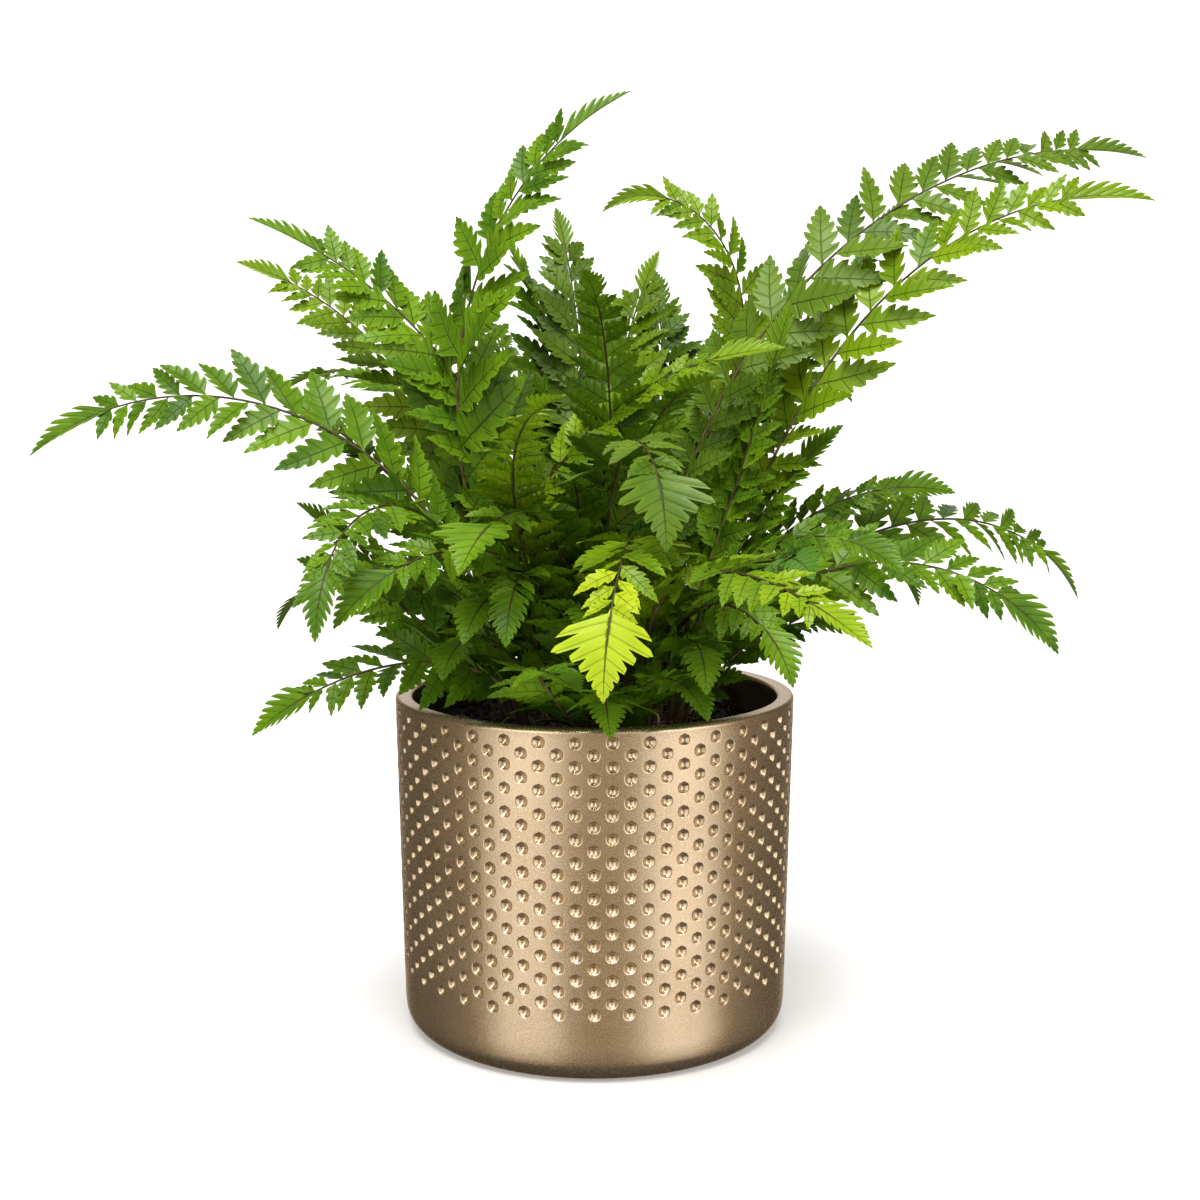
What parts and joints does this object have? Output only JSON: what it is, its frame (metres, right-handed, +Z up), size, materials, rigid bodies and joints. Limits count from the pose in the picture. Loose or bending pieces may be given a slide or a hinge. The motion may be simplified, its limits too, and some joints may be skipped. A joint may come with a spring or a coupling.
{
  "type": "potted fern",
  "caption": "Bushy fern with arching fronds of toothed leaflets, in a round gold-glazed ceramic pot with rows of small pits.",
  "frame": {"origin": "centre of the flat underside of the pot, on the surface that it stands on", "axes": "+Z up along the pot's axis; -Y towards the viewer of the picture, +X to the viewer's right"},
  "size_m": [0.3819, 0.32, 0.3255],
  "materials": {
    "pot_glaze": "gold-bronze metallic glaze, satin, with a fine flake",
    "soil": "damp dark potting soil with bits of root and bark",
    "leaf_deep": "deep green leaflets, half glossy, with a dark midrib",
    "leaf_mid": "mid green leaflets, half glossy, with a dark midrib",
    "leaf_light": "young yellow-green leaflets, half glossy",
    "leaf_grey": "grey-green leaflets with a dull bloom"
  },
  "bodies": {
    "root": {"pot": "pot_glaze", "soil": "soil", "frond_left_long": "leaf_deep", "frond_left_upper": "leaf_mid", "frond_left_behind": "leaf_light", "frond_top_tall": "leaf_mid", "frond_top_centre": "leaf_grey", "frond_top_curl": "leaf_light", "frond_right_upper": "leaf_grey", "frond_right_bright": "leaf_light", "frond_right_inner": "leaf_mid", "frond_right_low_back": "leaf_deep", "frond_right_low": "leaf_deep", "frond_rim_left": "leaf_deep", "frond_left_mid": "leaf_mid", "frond_left_hang": "leaf_deep", "frond_left_small": "leaf_mid", "frond_left_broad": "leaf_mid", "frond_mid_top": "leaf_light", "frond_mid_right": "leaf_light", "frond_right_second": "leaf_mid", "frond_back_centre": "leaf_mid", "frond_front_pale": "leaf_grey", "frond_front_left": "leaf_deep", "frond_front_yellow": "leaf_light", "frond_front_lime": "leaf_light", "frond_rim_right": "leaf_mid", "frond_front_bottom": "leaf_deep", "frond_front_small": "leaf_mid", "frond_front_tiny": "leaf_deep", "frond_front_dark": "leaf_deep", "frond_front_low_left": "leaf_deep", "frond_right_small": "leaf_mid", "frond_glossy": "leaf_grey", "frond_back_left": "leaf_mid", "frond_back_right": "leaf_deep", "frond_back_low": "leaf_deep", "frond_back_low_left": "leaf_deep", "frond_back_low_right": "leaf_mid", "frond_heart_left": "leaf_mid", "frond_heart_front": "leaf_mid", "frond_heart_right": "leaf_deep", "frond_heart_back": "leaf_mid", "frond_back_left_tall": "leaf_deep", "frond_back_right_tall": "leaf_mid", "frond_left_front": "leaf_deep", "frond_right_front": "leaf_deep", "frond_right_mid": "leaf_mid", "frond_crown_left": "leaf_mid", "frond_crown_mid": "leaf_light", "frond_crown_near": "leaf_mid", "frond_crown_right": "leaf_deep", "frond_crown_front": "leaf_mid", "frond_low_left": "leaf_mid", "frond_low_right": "leaf_deep", "frond_low_mid": "leaf_mid", "frond_side_right": "leaf_mid", "frond_left_second": "leaf_mid", "frond_heart_high": "leaf_deep"}
  },
  "joints": []
}
